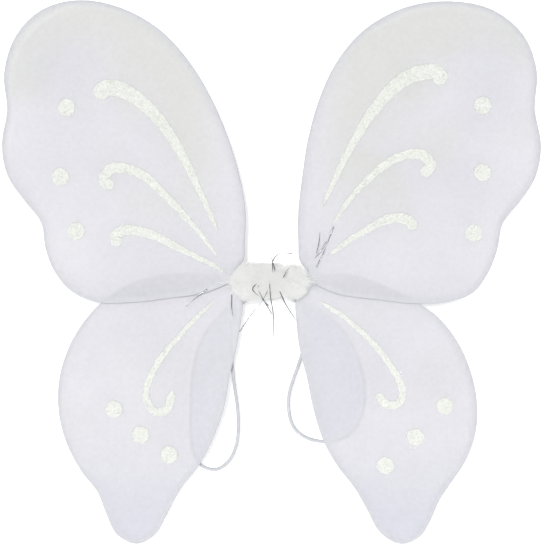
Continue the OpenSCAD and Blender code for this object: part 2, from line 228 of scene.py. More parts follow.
# Curves and tubes
def smoothPath(route, steps):  # the same centripetal curve that the CAD cords follow
    route = np.array(route, float)
    ends = np.vstack([2 * route[0] - route[1], route, 2 * route[-1] - route[-2]])
    made = []
    for i in range(len(route) - 1):
        a, b, c, d = ends[i:i + 4]
        k1 = math.sqrt(np.linalg.norm(b - a))
        k2 = k1 + math.sqrt(np.linalg.norm(c - b))
        k3 = k2 + math.sqrt(np.linalg.norm(d - c))
        for step in range(steps):
            k = k1 + (k2 - k1) * step / steps
            ab = (a * (k1 - k) + b * k) / k1
            bc = (b * (k2 - k) + c * (k - k1)) / (k2 - k1)
            cd = (c * (k3 - k) + d * (k - k2)) / (k3 - k2)
            abc = (ab * (k2 - k) + bc * k) / k2
            bcd = (bc * (k3 - k) + cd * (k - k1)) / (k3 - k1)
            made.append((abc * (k2 - k) + bcd * (k - k1)) / (k2 - k1))
    made.append(route[-1])
    return np.array(made)


def evenPath(path, gap):  # the same line with points at even steps
    spans = np.linalg.norm(np.diff(path, axis=0), axis=1)
    runs = np.concatenate([[0], np.cumsum(spans)])
    at = np.linspace(0, runs[-1], max(int(runs[-1] / gap), 2) + 1)
    return np.stack([np.interp(at, runs, path[:, k]) for k in range(3)], axis=1)


def sweepTube(name, path, radius, sides, relief=None):
    path = np.asarray(path, float)
    ahead = unit(np.gradient(path, axis=0))
    up = np.cross(ahead[0], (0.3, 1.0, 0.2))
    ups = []
    for direction in ahead:  # carried along without twisting
        up = up - direction * (up @ direction)
        up = up / np.linalg.norm(up)
        ups.append(up)
    ups = np.array(ups)
    across = np.cross(ahead, ups)
    run = np.concatenate([[0], np.cumsum(np.linalg.norm(np.diff(path, axis=0), axis=1))])
    turn = np.arange(sides) * 2 * np.pi / sides
    reach = np.full((len(path), sides), radius)
    if relief is not None:
        reach = reach + relief(run[:, None], turn[None, :])
    ring = ups[:, None] * np.cos(turn)[None, :, None] + across[:, None] * np.sin(turn)[None, :, None]
    verts = (path[:, None] + reach[..., None] * ring).reshape(-1, 3)
    faces, uvs = [], []
    for i in range(len(path) - 1):
        for s in range(sides):
            n = (s + 1) % sides
            faces.append((i * sides + s, i * sides + n, (i + 1) * sides + n, (i + 1) * sides + s))
            left, right = s / sides, (s + 1) / sides
            uvs += [(left, run[i]), (right, run[i]), (right, run[i + 1]), (left, run[i + 1])]
    last = (len(path) - 1) * sides
    faces += [tuple(range(sides - 1, -1, -1)), tuple(range(last, last + sides))]
    uvs += [(0.5, 0.0)] * sides + [(0.5, run[-1])] * sides
    return meshPiece(name, verts.tolist(), faces, uvs)


# Helpers for materials
def addNode(tree, kind, inputs=None, **settings):
    node = tree.nodes.new(kind)
    for key, value in settings.items():
        setattr(node, key, value)
    for socket, value in (inputs or {}).items():
        if isinstance(value, bpy.types.NodeSocket):
            tree.links.new(value, node.inputs[socket])
        else:
            node.inputs[socket].default_value = value
    return node


def mathOf(tree, operation, first, second=0.0, clamp=False):
    node = addNode(tree, "ShaderNodeMath", {0: first, 1: second}, operation=operation, use_clamp=clamp)
    return node.outputs[0]


def blendOf(tree, share, first, second):  # colour mix
    node = addNode(tree, "ShaderNodeMix", {0: share, 6: first, 7: second}, data_type="RGBA")
    return node.outputs[2]


def rangeOf(tree, value, low, high, outLow, outHigh):
    numbers = {0: value, 1: low, 2: high, 3: outLow, 4: outHigh}
    return addNode(tree, "ShaderNodeMapRange", numbers).outputs[0]


def bumpOf(tree, height, strength, distance):
    numbers = {"Height": height, "Strength": strength, "Distance": distance}
    return addNode(tree, "ShaderNodeBump", numbers).outputs[0]


def noiseOf(tree, place, scale, detail, **more):
    numbers = {"Vector": place, "Scale": scale, "Detail": detail, **more}
    return addNode(tree, "ShaderNodeTexNoise", numbers).outputs["Fac"]


def attributeOf(tree, name):
    return addNode(tree, "ShaderNodeAttribute", attribute_name=name).outputs["Fac"]


def objectPlace(tree):
    return addNode(tree, "ShaderNodeTexCoord").outputs["Object"]


def uvOf(tree):
    return addNode(tree, "ShaderNodeSeparateXYZ", {0: addNode(tree, "ShaderNodeUVMap").outputs[0]}).outputs


def newMaterial(name, **values):  # a value's name is its socket's name, with _ for a space
    material = bpy.data.materials.new(name)
    material.use_nodes = True
    shader = material.node_tree.nodes["Principled BSDF"]
    for socket, value in values.items():
        shader.inputs[socket.replace("_", " ")].default_value = value
    return material, material.node_tree, shader


def feed(tree, shader, **sources):
    for socket, source in sources.items():
        tree.links.new(source, shader.inputs[socket.replace("_", " ")])


def newGroup(name, inputs, outputs):
    group = bpy.data.node_groups.new(name, "ShaderNodeTree")
    for label, kind, value in inputs:
        socket = group.interface.new_socket(label, in_out="INPUT", socket_type=kind)
        if value is not None:
            socket.default_value = value
    for label, kind in outputs:
        group.interface.new_socket(label, in_out="OUTPUT", socket_type=kind)
    return group, group.nodes.new("NodeGroupInput").outputs, group.nodes.new("NodeGroupOutput").inputs


def placeGroup(tree, group, inputs):
    return addNode(tree, "ShaderNodeGroup", inputs, node_tree=group).outputs


def threadWave(tree, run):  # 0 between two threads and 1 on top of each
    return mathOf(tree, "ABSOLUTE", mathOf(tree, "SINE", mathOf(tree, "MULTIPLY", run, math.pi)))


def makeThreadWeave():  # over-and-under threads, one for each whole step of Warp and Weft
    group, given, out = newGroup(
        "threadWeave",
        [("Warp", "NodeSocketFloat", 0.0), ("Weft", "NodeSocketFloat", 0.0)],
        [("Height", "NodeSocketFloat"), ("Gap", "NodeSocketFloat")],
    )
    height = mathOf(group, "MAXIMUM", threadWave(group, given["Warp"]), threadWave(group, given["Weft"]))
    group.links.new(height, out["Height"])
    group.links.new(mathOf(group, "SUBTRACT", 1.0, mathOf(group, "POWER", height, 3.0)), out["Gap"])
    return group


def makeSoftMottle():  # slow change between two colours
    group, given, out = newGroup(
        "softMottle",
        [
            ("Place", "NodeSocketVector", None),
            ("Scale", "NodeSocketFloat", 20.0),
            ("Detail", "NodeSocketFloat", 2.0),
            ("Low", "NodeSocketColor", (0.8, 0.8, 0.8, 1.0)),
            ("High", "NodeSocketColor", (0.9, 0.9, 0.9, 1.0)),
        ],
        [("Colour", "NodeSocketColor"), ("Value", "NodeSocketFloat")],
    )
    cloud = noiseOf(group, given["Place"], given["Scale"], given["Detail"])
    value = rangeOf(group, cloud, 0.3, 0.7, 0.0, 1.0)
    group.links.new(blendOf(group, value, given["Low"], given["High"]), out["Colour"])
    group.links.new(value, out["Value"])
    return group


threadWeave = makeThreadWeave()
softMottle = makeSoftMottle()


def weaveOf(tree, warp, weft=0.0):
    return placeGroup(tree, threadWeave, {"Warp": warp, "Weft": weft})


def mottleOf(tree, scale, detail, low, high):
    inputs = {"Place": objectPlace(tree), "Scale": scale, "Detail": detail, "Low": low, "High": high}
    return placeGroup(tree, softMottle, inputs)


def rgb(*shown):  # display values 0 to 255 as a linear colour
    return tuple(((c / 255 + 0.055) / 1.055) ** 2.4 if c > 10 else c / 3295 for c in shown) + (1.0,)


makeCamera()
print("camera set")


# Elastic straps and their hitches, which come first
strapLook = {
    "diameter": 3.3 * mm,
    "sides": 20,
    "ring": 0.55 * mm,
    "braid": 0.14 * mm,  # relief of the braid
    "yarns": 5,  # round the cord, in each direction
    "lay": 5.5 * mm,  # length of one turn of a yarn
    "leftLength": 0.390,
    "rightLength": 0.367,
    "closed": 1.004,  # turns of the hitch and the knot, so that their ends overlap
    "knotSpan": 0.62,  # shares of the knot's radius
    "knotCord": 0.4,
    "knotDeep": 2.2,  # depth of the knot's weave against its width
}
leftRoute = [
    (-17.8, -10.4, -14.65), (-21, -7.2, -16.6), (-25, -3.8, -18.8), (-30, -1, -23), (-34, 0.6, -31),
    (-37, 1, -43), (-38, 1, -58), (-37, 1, -76), (-35, 1, -97), (-32, 1, -118), (-31, 1, -138),
    (-33, 1, -155), (-40, 1, -170), (-52, 1, -178), (-65, 1, -175), (-73, 1, -163), (-76, 1, -145),
    (-76, 1, -120), (-75, 1, -95), (-71, 1, -70), (-62, 1, -48), (-49, 1, -33), (-39, 0.6, -23),
    (-31.5, -1, -16.5), (-25, -4, -12.8), (-16.7, -8.26, -11.85),
]
rightRoute = [
    (17.8, -10.4, -14.65), (21, -7.2, -16.6), (25, -3.8, -18.8), (29.5, -1, -23), (32.5, 0.6, -31),
    (33.5, 1, -43), (32, 1, -58), (27, 1, -76), (21, 1, -93), (17, 1, -108), (17, 1, -123),
    (21, 1, -137), (30, 1, -146), (44, 1, -151), (60, 1, -151), (74, 1, -145), (84, 1, -132),
    (89, 1, -114), (88, 1, -93), (82, 1, -71), (72, 1, -51), (57, 1, -35), (42, 0.6, -23.5),
    (32, -1, -16.5), (25, -4, -12.8), (16.7, -8.26, -11.85),
]


def braidRelief(run, turn):  # two sets of yarns that cross
    yarns, lay = strapLook["yarns"], strapLook["lay"]
    one = np.cos(yarns * (turn + 2 * np.pi * run / lay))
    other = np.cos(yarns * (turn - 2 * np.pi * run / lay))
    return strapLook["braid"] * (np.maximum(one, other) - 0.75)  # about 0 on the whole


def makeElastic():
    material, tree, shader = newMaterial("braidedElastic", Roughness=0.62, Sheen_Weight=0.3)
    uv = uvOf(tree)
    fibres = 4.0 * strapLook["yarns"]
    around = mathOf(tree, "MULTIPLY", uv[0], fibres)
    along = mathOf(tree, "MULTIPLY", uv[1], fibres / strapLook["lay"])
    weave = weaveOf(tree, mathOf(tree, "ADD", around, along), mathOf(tree, "SUBTRACT", around, along))
    mottle = mottleOf(tree, 160.0, 2.0, rgb(186, 189, 194), rgb(200, 202, 206))
    # painted shade: darker in the gaps between the braid's yarns
    tone = blendOf(tree, mathOf(tree, "MULTIPLY", weave["Gap"], 0.35), mottle["Colour"], rgb(138, 141, 148))
    feed(tree, shader, Base_Color=tone, Normal=bumpOf(tree, weave["Height"], 0.35, 0.1 * mm))
    return material


elastic = makeElastic()


def makeStrap(side, route):
    route = np.array(route) * mm
    path = evenPath(smoothPath(route, 12), strapLook["ring"])
    name = f"{side}_strap_elastic"
    piece = sweepTube(name, path, strapLook["diameter"] / 2, strapLook["sides"], braidRelief)
    dress(piece, elastic, f"{side}_strap_loop", [f"{side}_strap"])


def makeHitch(side):  # the elastic's turn round the wrap, and the knot under it
    look = strapLook
    low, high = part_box(f"{side}_strap_hitch")
    middle, radius = (low.x + high.x) / 2, look["diameter"] / 2
    axisY = axisOf("stem_wrap")[0]
    turn = np.linspace(0, 2 * np.pi * look["closed"], 110)
    ringR = high.z - radius
    ring = np.stack([middle + 0 * turn, axisY + ringR * np.sin(turn), ringR * np.cos(turn)], axis=1)
    ringPiece = sweepTube("ring", ring, radius, look["sides"], braidRelief)
    knotR = (high.x - low.x) / 2
    turn = np.linspace(0, 2 * np.pi * look["closed"], 90)
    size = look["knotSpan"] * knotR / 3
    knot = np.stack([
        middle + size * (np.sin(turn) + 2 * np.sin(2 * turn)),
        axisY - size * look["knotDeep"] * np.sin(3 * turn),
        low.z + knotR + size * (np.cos(turn) - 2 * np.cos(2 * turn)),
    ], axis=1)
    knotPiece = sweepTube("knot", knot, look["knotCord"] * knotR, 16, braidRelief)
    piece = joinPieces([ringPiece, knotPiece], f"{side}_strap_knot")
    dress(piece, elastic, f"{side}_strap_loop", [f"{side}_strap_hitch"])


makeStrap("left", leftRoute)
makeStrap("right", rightRoute)
makeHitch("left")
makeHitch("right")
print("straps and hitches made")


# Stage: a white wall close behind, a pale floor and soft light
stageSet = {
    "wallY": 14 * mm,
    "floorZ": -0.3,
    "white": 0.85,  # share of light that wall and floor give back
    "glow": 0.34,  # light from behind the paper, which keeps the shadows faint
    "sky": 0.55,
    "sun": 2.0,
    "sunFrom": (-0.115, -1.0, 0.135),
    "sunSoft": 7.0,  # degrees
    "wallSize": 3.0,
    "floorSize": 6.0,
}


def stagePlane(name, place, turn, size):
    bpy.ops.mesh.primitive_plane_add(size=size, location=place, rotation=turn)
    plane = bpy.context.object
    plane.name = name
    onlySelect(plane)
    setMode("EDIT")
    bpy.ops.mesh.subdivide(number_cuts=1)
    setMode("OBJECT")
    return plane


def makeStage():
    white = (stageSet["white"],) * 3 + (1.0,)
    wallPaint, tree, shader = newMaterial(
        "wallPaint", Base_Color=white, Roughness=1.0, Specular_IOR_Level=0.0,
        Emission_Color=(1, 1, 1, 1), Emission_Strength=stageSet["glow"])
    clear = addNode(tree, "ShaderNodeBsdfTransparent")
    back = addNode(tree, "ShaderNodeNewGeometry").outputs["Backfacing"]  # seen from behind it is clear
    both = addNode(tree, "ShaderNodeMixShader", {0: back, 1: shader.outputs[0], 2: clear.outputs[0]})
    tree.links.new(both.outputs[0], tree.nodes["Material Output"].inputs["Surface"])
    wall = stagePlane("wall", (0, stageSet["wallY"], 0), (math.radians(90), 0, 0), stageSet["wallSize"])
    wall.data.materials.append(wallPaint)
    floor = stagePlane("floor", (0, 0, stageSet["floorZ"]), (0, 0, 0), stageSet["floorSize"])
    floor.data.materials.append(wallPaint)

    world = bpy.data.worlds.new("studio")
    bpy.context.scene.world = world
    world.use_nodes = True
    world.node_tree.nodes["Background"].inputs["Color"].default_value = (1, 1, 1, 1)
    world.node_tree.nodes["Background"].inputs["Strength"].default_value = stageSet["sky"]
    bpy.ops.object.light_add(type="SUN", location=(-0.5, -2, 0.6))
    sun = bpy.context.object
    sun.data.energy = stageSet["sun"]
    sun.data.angle = math.radians(stageSet["sunSoft"])
    sun.rotation_mode = "QUATERNION"
    sun.rotation_quaternion = Vector(stageSet["sunFrom"]).to_track_quat("Z", "Y")
    bpy.context.scene.view_settings.view_transform = "Standard"
    bpy.context.scene.cycles.transparent_max_bounces = 24


makeStage()
print("stage and light set")


# The wings: which body each rides on and which side it is on
wings = {
    f"{tier}_{hand}": {"body": f"{tier}_{hand}_wing", "side": side, "lines": lines}
    for tier, lines in (("upper", ["long_line", "middle_line", "short_line"]), ("lower", ["line"]))
    for hand, side in (("left", -1), ("right", 1))
}


# Steel wires and stems
wireLook = {"roundness": 1, "overlap": 0.7 * mm, "ring": 0.4 * mm, "slack": 0.985}


def makeSteel():
    material, tree, shader = newMaterial("drawnSteel", Metallic=1.0)
    mottle = mottleOf(tree, 350.0, 3.0, rgb(128, 129, 133), rgb(166, 167, 170))
    feed(
        tree, shader, Base_Color=mottle["Colour"],
        Roughness=rangeOf(tree, mottle["Value"], 0.0, 1.0, 0.28, 0.45),
        Normal=bumpOf(tree, mottle["Value"], 0.15, 0.05 * mm),
    )
    return material


steel = makeSteel()


def makeWire(wing):
    piece = cadCopy(f"{wing}_wire", f"{wing}_frame_wire")
    applyModifier(piece, "SUBSURF", levels=wireLook["roundness"], render_levels=wireLook["roundness"])
    piece.data.shade_smooth()
    dress(piece, steel, wings[wing]["body"], [f"{wing}_wire"])


def makeRootWires(wing):  # the two short lengths that bend at the root
    side = wings[wing]["side"]
    stemLow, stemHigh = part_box(f"{wing}_stems")
    wireLow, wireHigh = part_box(f"{wing}_wire")
    radius = (wireHigh.y - wireLow.y) / 2
    stemEnd = stemHigh.x if side > 0 else -stemLow.x
    wireStart = wireLow.x if side > 0 else -wireHigh.x
    near, far = side * (stemEnd - wireLook["overlap"]), side * (wireStart + wireLook["overlap"])
    y = (stemLow.y + stemHigh.y) / 2
    parts = []
    for z in (stemLow.z + radius, stemHigh.z - radius):
        path = evenPath(np.array([(near, y, z), (far, y, z)]), wireLook["ring"])
        parts.append(sweepTube("root", path, wireLook["slack"] * radius, 16))
    piece = joinPieces(parts, f"{wing}_root_wires")
    dress(piece, steel)
    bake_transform(piece)


for wing in wings:
    makeWire(wing)
    makeRootWires(wing)
    stems = nodes[f"{wing}_stems"]
    stems.data.materials.clear()
    stems.data.materials.append(steel)
print("wires and stems made")


# Nylon sleeves
sleeveLook = {
    "cell": 4 * mm,
    "rimRound": 1.1 * mm,
    "sag": 0.45 * mm,  # how far the two films draw together
    "ripple": 0.16 * mm,
    "pleats": 26,  # folds round the root
    "pleatDepth": 0.55 * mm,
    "pleatReach": 45 * mm,
    "heldBy": 2.5 * mm,  # from the rim, where the wire holds the film flat
    "freeBy": 16 * mm,
}
wingShape = {}


def fromRoot(flat, wing):  # distance and angle of each [x, z] point from the wing's root
    low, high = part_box(f"{wing}_binding")
    out = flat - np.array([wings[wing]["side"] * min(abs(low.x), abs(high.x)), (low.z + high.z) / 2])
    return np.linalg.norm(out, axis=1), np.arctan2(out[:, 1], np.abs(out[:, 0]))


def edgeDistance(flat, edges):  # distance of each [x, z] point to the nearest of these edges
    starts, spans = edges[:, 0], edges[:, 1] - edges[:, 0]
    nearest = np.full(len(flat), 1e9)
    for start, span in zip(starts, spans):
        away = flat - start
        share = np.clip(away @ span / max(span @ span, 1e-12), 0, 1)
        nearest = np.minimum(nearest, np.linalg.norm(away - share[:, None] * span, axis=1))
    return nearest


def filmShift(place, wing, back=False):  # how far a film lies inside its flat plane, at each point
    look = sleeveLook
    flat = place[:, [0, 2]]
    rim = edgeDistance(flat, wingShape[wing]["edges"])
    reach, angle = fromRoot(flat, wing)
    spread = np.stack([np.cos(angle) * 6, np.sin(angle) * 6, reach * 12 + (3 if back else 0)], axis=1)
    phase = 2.2 * noiseAt(spread, 1.0, 4.0 + back)
    free = smoothStep(look["heldBy"], look["freeBy"], rim)
    nearFree = smoothStep(look["heldBy"] * 0.5, look["heldBy"] * 2.4, rim)
    flatPlace = np.stack([flat[:, 0], flat[:, 1], 0 * rim + (0.5 if back else 0.0)], axis=1)
    ripple = look["ripple"] * noiseAt(flatPlace, 34.0, 9.0) * free
    pleat = 0.5 + 0.5 * np.cos(look["pleats"] * angle + phase)
    pleat = look["pleatDepth"] * pleat * np.exp(-reach / look["pleatReach"]) * nearFree
    return look["sag"] * free + ripple + pleat


def insideLoop(flat, loop):  # even-odd rule
    inside = np.zeros(len(flat), bool)
    for a, b in zip(loop, np.roll(loop, -1, axis=0)):
        crosses = (a[1] > flat[:, 1]) != (b[1] > flat[:, 1])
        at = a[0] + (flat[:, 1] - a[1]) * (b[0] - a[0]) / (b[1] - a[1] + 1e-12)
        inside ^= crosses & (flat[:, 0] < at)
    return inside


nylonShade = {  # in pairs, where a shade starts and where it ends
    "edge": (1.5 * mm, 6.5 * mm),  # from the rim, the dark edge
    "halo": (4 * mm, 12 * mm),  # and the faint one past it
    "haloShare": 0.08,
    "gather": (4 * mm, 24 * mm),  # from the root, the full shade and how far it fades
    "plainTop": (0.16, 0.26),  # height on an upper wing where the nylon turns plainer
    "plainInner": (0.16, 0.08),  # from the middle, the plainer inner part
    "plainRoot": (0.035, 0.08),  # but not right at the middle
    "plainRise": (0.03, 0.12),  # nor low down
    "blueSpot": (0.205, 0.2),  # the bluer place near an upper wing's tip, out and up
    "blueSize": (0.03, 0.035),
    "blueUnder": (0.02, -0.02),  # height where an upper wing turns bluer
    "blueTip": (-0.15, -0.23),  # and a lower one
    "loopPaintedShade": (-3 * mm, 5 * mm),  # painted shade, darker and bluer, from outside to inside of the strap's loop behind it
}


def shadeSleeve(piece, wing):  # where the nylon is darker, bluer or plainer, with painted shade inside a lower wing's strap loop
    look = nylonShade
    place = points(piece)
    flat = place[:, [0, 2]]
    side = wings[wing]["side"]
    rim = edgeDistance(flat, wingShape[wing]["edges"])
    reach, angle = fromRoot(flat, wing)
    streak = noiseAt(np.stack([angle * 7, reach * 9, 0 * reach], axis=1), 1.0, 2.0)
    halo = look["haloShare"]
    edge = 1 - (1 - halo) * smoothStep(*look["edge"], rim) - halo * smoothStep(*look["halo"], rim)
    gather = np.exp(-np.maximum(reach - look["gather"][0], 0) / look["gather"][1]) * (0.8 + 0.45 * streak)
    high, across = flat[:, 1], np.abs(flat[:, 0])
    cloud = noiseAt(place, 16.0, 3.0 + side)
    if wing.startswith("upper"):
        inner = smoothStep(*look["plainInner"], across + 0.1 * cloud) * smoothStep(*look["plainRoot"], across)
        inner *= smoothStep(*look["plainRise"], high)
        plain = smoothStep(*look["plainTop"], high + 0.12 * cloud) + inner
        away = (np.stack([across, high], axis=1) - look["blueSpot"]) / look["blueSize"]
        blue = 0.4 * np.exp(-(away ** 2).sum(axis=1)) + 0.35 * smoothStep(*look["blueUnder"], high)
    else:
        plain = 0.35 * smoothStep(0.0, 0.8, cloud)
        blue = smoothStep(*look["blueTip"], high + 0.02 * cloud)
        loop = np.array(leftRoute if side < 0 else rightRoute)[:, [0, 2]] * mm
        deep = edgeDistance(flat, np.stack([loop, np.roll(loop, -1, axis=0)], axis=1))
        strapSide = np.where(insideLoop(flat, loop), deep, -deep)
        # painted shade: the nylon inside the strap's loop is made darker and bluer
        blue += 0.6 * smoothStep(*look["loopPaintedShade"], strapSide)
    for name, shade in (("edge", edge), ("gather", gather), ("plain", plain), ("blue", blue)):
        giveAttribute(piece, f"{name}Shade", np.clip(shade, 0, 1))


def makeNylon():
    material, tree, shader = newMaterial(
        "sheerNylon", Roughness=0.55, Sheen_Weight=0.18, Sheen_Roughness=0.4, Specular_IOR_Level=0.3)
    place = objectPlace(tree)
    axes = addNode(tree, "ShaderNodeSeparateXYZ", {0: place}).outputs
    drift = mathOf(tree, "MULTIPLY", noiseOf(tree, place, 90.0, 2.0), 3.0)
    warp = mathOf(tree, "ADD", mathOf(tree, "MULTIPLY", axes["X"], 1100.0), drift)  # threads in a metre
    weft = mathOf(tree, "ADD", mathOf(tree, "MULTIPLY", axes["Z"], 1500.0), drift)
    knit = weaveOf(tree, warp, weft)
    mottle = mottleOf(tree, 14.0, 3.0, rgb(205, 204, 210), rgb(211, 210, 215))
    tone = blendOf(tree, attributeOf(tree, "plainShade"), mottle["Colour"], rgb(204, 204, 203))
    # bluer tint, which on a lower wing also carries painted shade inside the strap's loop
    tone = blendOf(tree, attributeOf(tree, "blueShade"), tone, rgb(195, 196, 205))
    tone = blendOf(tree, attributeOf(tree, "gatherShade"), tone, rgb(204, 205, 211))
    tone = blendOf(tree, attributeOf(tree, "edgeShade"), tone, rgb(195, 196, 201))
    fine = placeGroup(tree, softMottle, {"Place": place, "Scale": 260.0, "Detail": 3.0})
    closed = mathOf(tree, "ADD", attributeOf(tree, "edgeShade"), attributeOf(tree, "gatherShade"))
    cover = rangeOf(tree, closed, 0.0, 1.0, 0.71, 0.92)
    cover = mathOf(tree, "ADD", cover, rangeOf(tree, fine["Value"], 0.0, 1.0, -0.03, 0.03))
    cover = mathOf(tree, "SUBTRACT", cover, mathOf(tree, "MULTIPLY", knit["Gap"], 0.12), clamp=True)
    height = mathOf(tree, "ADD", mathOf(tree, "MULTIPLY", knit["Height"], 0.5), fine["Value"])
    feed(tree, shader, Base_Color=tone, Alpha=cover, Normal=bumpOf(tree, height, 0.25, 0.12 * mm))
    return material


nylon = makeNylon()


def makeSleeve(wing):
    source = f"{wing}_sleeve"
    low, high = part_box(source)
    middle, half = (low.y + high.y) / 2, (high.y - low.y) / 2
    piece = cadCopy(source, f"{wing}_nylon")
    mesh = piece.data
    outer = np.abs(np.abs(points(piece)[:, 1] - middle) - half) < same
    setMode("EDIT")
    bpy.ops.mesh.select_mode(type="FACE")
    bpy.ops.mesh.select_all(action="DESELECT")
    setMode("OBJECT")
    for face in mesh.polygons:  # the inner walls go, and a face shows the film from both sides
        face.select = not all(outer[v] for v in face.vertices)
    setMode("EDIT")
    bpy.ops.mesh.delete(type="FACE")
    setMode("OBJECT")
    mergeFlat(piece, 0.5)
    place = points(piece)
    edges = [e.vertices for e in mesh.edges]
    edges = [place[list(e)][:, [0, 2]] for e in edges if abs(place[list(e), 1] - low.y).max() < same]
    wingShape[wing] = {"edges": np.array(edges), "area": max(face.area for face in mesh.polygons)}
    onlySelect(piece)
    # only the rims of the two films, not the sharp turns of the outline
    bevelSharp(piece, sleeveLook["rimRound"], 3, lambda a, b: abs(a[1] - b[1]) < same)
    cutGrid(piece, sleeveLook["cell"])
    mesh.shade_smooth()
    place = points(piece)
    front = place[:, 1] < middle
    shift = np.where(front, filmShift(place, wing), -filmShift(place, wing, back=True))
    shift *= np.abs(place[:, 1] - middle) > half - 0.02 * mm
    place[:, 1] += shift
    movePoints(piece, place)
    shadeSleeve(piece, wing)
    dress(piece, nylon, wings[wing]["body"], [source])


for wing in wings:
    makeSleeve(wing)
    print(wing, "sleeve made, one film", round(wingShape[wing]["area"] * 1e4), "cm2")


# Thread bindings round the sleeves' necks
bindingLook = {
    "thread": 0.56 * mm,
    "layers": 2,
    "turns": 5,
    "sides": 8,
    "pointsPerTurn": 28,
    "square": 0.62,  # below 1 the turns are rounded rectangles
    "insets": (1.1, 0.5),  # of the lower and the upper layer, in threads
}


def makeThread():
    material, tree, shader = newMaterial("whiteThread", Roughness=0.8, Sheen_Weight=0.2)
    uv = uvOf(tree)
    twist = mathOf(tree, "ADD", mathOf(tree, "MULTIPLY", uv[0], 3.0), mathOf(tree, "MULTIPLY", uv[1], 1400.0))
    ply = weaveOf(tree, twist)
    # painted shade: darker in the grooves between the plies
    tone = blendOf(tree, ply["Gap"], rgb(229, 230, 234), rgb(190, 192, 198))
    feed(tree, shader, Base_Color=tone, Normal=bumpOf(tree, ply["Height"], 0.5, 0.08 * mm))
    return material


thread = makeThread()


def makeBinding(wing):
    look = bindingLook
    low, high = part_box(f"{wing}_binding")
    middle, half = (low + high) / 2, (high - low) / 2
    width = high.x - low.x - look["thread"]
    count = look["layers"] * look["turns"] * look["pointsPerTurn"]
    route = []
    for i in range(count + 1):
        turn = 2 * math.pi * i / look["pointsPerTurn"]
        layer = look["layers"] * i / count  # out along the neck and back on top
        x = middle.x - width / 2 + width * (layer if layer < 1 else 2 - layer)
        inset = look["thread"] * look["insets"][0 if layer < 1 else 1]
        cos, sin = math.cos(turn), math.sin(turn)
        y = math.copysign(abs(cos) ** look["square"], cos) * (half.y - inset)
        z = math.copysign(abs(sin) ** look["square"], sin) * (half.z - inset)
        route.append((x, middle.y + y, middle.z + z))
    piece = sweepTube(f"{wing}_neck_thread", route, look["thread"] / 2, look["sides"])
    dress(piece, thread, wings[wing]["body"], [f"{wing}_binding"])


for wing in wings:
    makeBinding(wing)
print("neck bindings made")


# Cloth tape wound round the roots
tapeLook = {"width": 6.5 * mm, "step": 0.32 * mm, "ring": 0.4 * mm, "around": 72, "crease": 0.12 * mm}


def makeTape():
    material, tree, shader = newMaterial("clothTape", Roughness=0.85, Sheen_Weight=0.15)
    uv = uvOf(tree)
    weave = weaveOf(tree, mathOf(tree, "MULTIPLY", uv[0], 110.0), mathOf(tree, "MULTIPLY", uv[1], 2300.0))
    mottle = mottleOf(tree, 220.0, 4.0, rgb(219, 220, 222), rgb(236, 236, 237))
    # painted shade: darker in the gaps between the woven threads
    tone = blendOf(tree, mathOf(tree, "MULTIPLY", weave["Gap"], 0.5), mottle["Colour"], rgb(176, 178, 182))
    feed(tree, shader, Base_Color=tone, Normal=bumpOf(tree, weave["Height"], 0.5, 0.08 * mm))
    return material


def tapeRelief(run, turn):  # each turn of tape climbs over the one before
    share = np.mod(run / tapeLook["width"] - turn / (2 * np.pi), 1.0)
    crease = np.sin(7 * turn + 900 * run) * np.sin(3 * turn - 400 * run)  # two slanting waves
    return -tapeLook["step"] * share + tapeLook["crease"] * (crease - 1) * 0.5


def makeWrap():
    low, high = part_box("stem_wrap")
    middle, radius = (low + high) / 2, (high.z - low.z) / 2
    path = evenPath(np.array([(low.x, middle.y, middle.z), (high.x, middle.y, middle.z)]), tapeLook["ring"])
    piece = sweepTube("root_tape_wrap", path, radius, tapeLook["around"], tapeRelief)
    onlySelect(piece)
    bpy.ops.object.shade_smooth_by_angle(angle=math.radians(50))
    dress(piece, makeTape(), "middle", ["stem_wrap"])


makeWrap()
print("tape wrap made")


# Felt pad against the back
padLook = {
    "round": 0.9 * mm,
    "corner": 6 * mm,
    "cell": 1.4 * mm,
    "nap": 0.12 * mm,
    "dent": 0.45 * mm,
    "dentWide": (0.2 * mm, 1.8 * mm),  # from the seam, where the dent starts to rise and where it ends
    "seamIn": 2.8 * mm,
    "stitches": 26,
    "stitch": 2.6 * mm,
    "stitchEnd": 0.35 * mm,  # how far a stitch's ends dip into the felt
    "thread": 0.55 * mm,
}


def seamPoint(share, middle, half, corner):  # a place on the stitched line, a rectangle with round corners
    straightX, straightZ, arc = 2 * (half.x - corner), 2 * (half.z - corner), math.pi * corner / 2
    run = share * (2 * straightX + 2 * straightZ + 4 * arc)
    place, heading = np.array([-straightX / 2, half.z]), 0.0
    for straight in (straightX, straightZ, straightX, straightZ):
        ahead = np.array([math.cos(heading), math.sin(heading)])
        if run <= straight:
            return middle + place + ahead * run, heading
        place, run = place + ahead * straight, run - straight
        inward = np.array([math.sin(heading), -math.cos(heading)])
        if run <= arc:
            turn = run / corner
            spot = place + corner * ((1 - math.cos(turn)) * inward + math.sin(turn) * ahead)
            return middle + spot, heading - turn
        place, run, heading = place + corner * (inward + ahead), run - arc, heading - math.pi / 2
    return middle + place, heading


def makeFelt():
    material, tree, shader = newMaterial(
        "whiteFelt", Roughness=0.95, Sheen_Weight=0.4, Specular_IOR_Level=0.2)
    fibres = noiseOf(tree, objectPlace(tree), 900.0, 5.0, Distortion=1.6)
    mottle = mottleOf(tree, 190.0, 4.0, rgb(222, 222, 221), rgb(238, 238, 236))
    # painted shade: darker in the low places of the fibre relief
    tone = blendOf(tree, rangeOf(tree, fibres, 0.5, 0.35, 0.0, 0.4), mottle["Colour"], rgb(186, 186, 188))
    feed(tree, shader, Base_Color=tone, Normal=bumpOf(tree, fibres, 0.6, 0.15 * mm))
    return material


